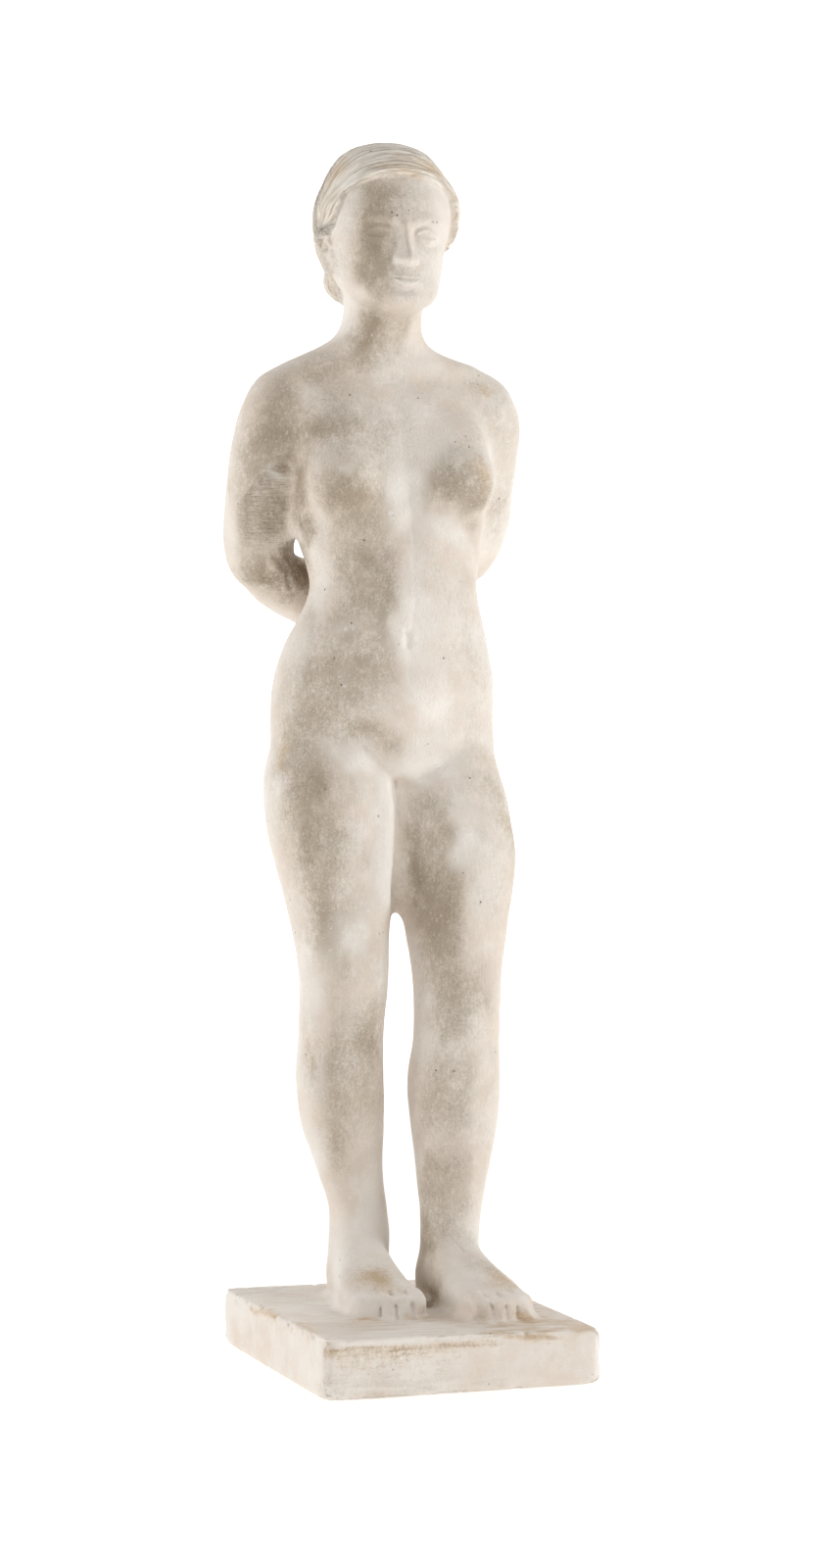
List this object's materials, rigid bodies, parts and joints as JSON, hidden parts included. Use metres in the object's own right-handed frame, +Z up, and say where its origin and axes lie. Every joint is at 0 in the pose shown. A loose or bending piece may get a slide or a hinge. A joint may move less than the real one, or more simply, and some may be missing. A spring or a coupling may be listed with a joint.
{
  "type": "standing female nude statuette",
  "caption": "Plaster statuette of a standing female nude, hands clasped behind the back, cast in one with a low rectangular plinth.",
  "frame": {"origin": "centre of the plinth's underside, which the statue stands on", "axes": "+Z up, the figure faces -Y, its right side is toward -X"},
  "size_m": [0.1506, 0.1755, 0.5999],
  "materials": {
    "plaster": "matte patinated plaster, warm off-white with grey-beige and ochre toning"
  },
  "bodies": {
    "root": {"statue": "plaster"}
  },
  "joints": []
}
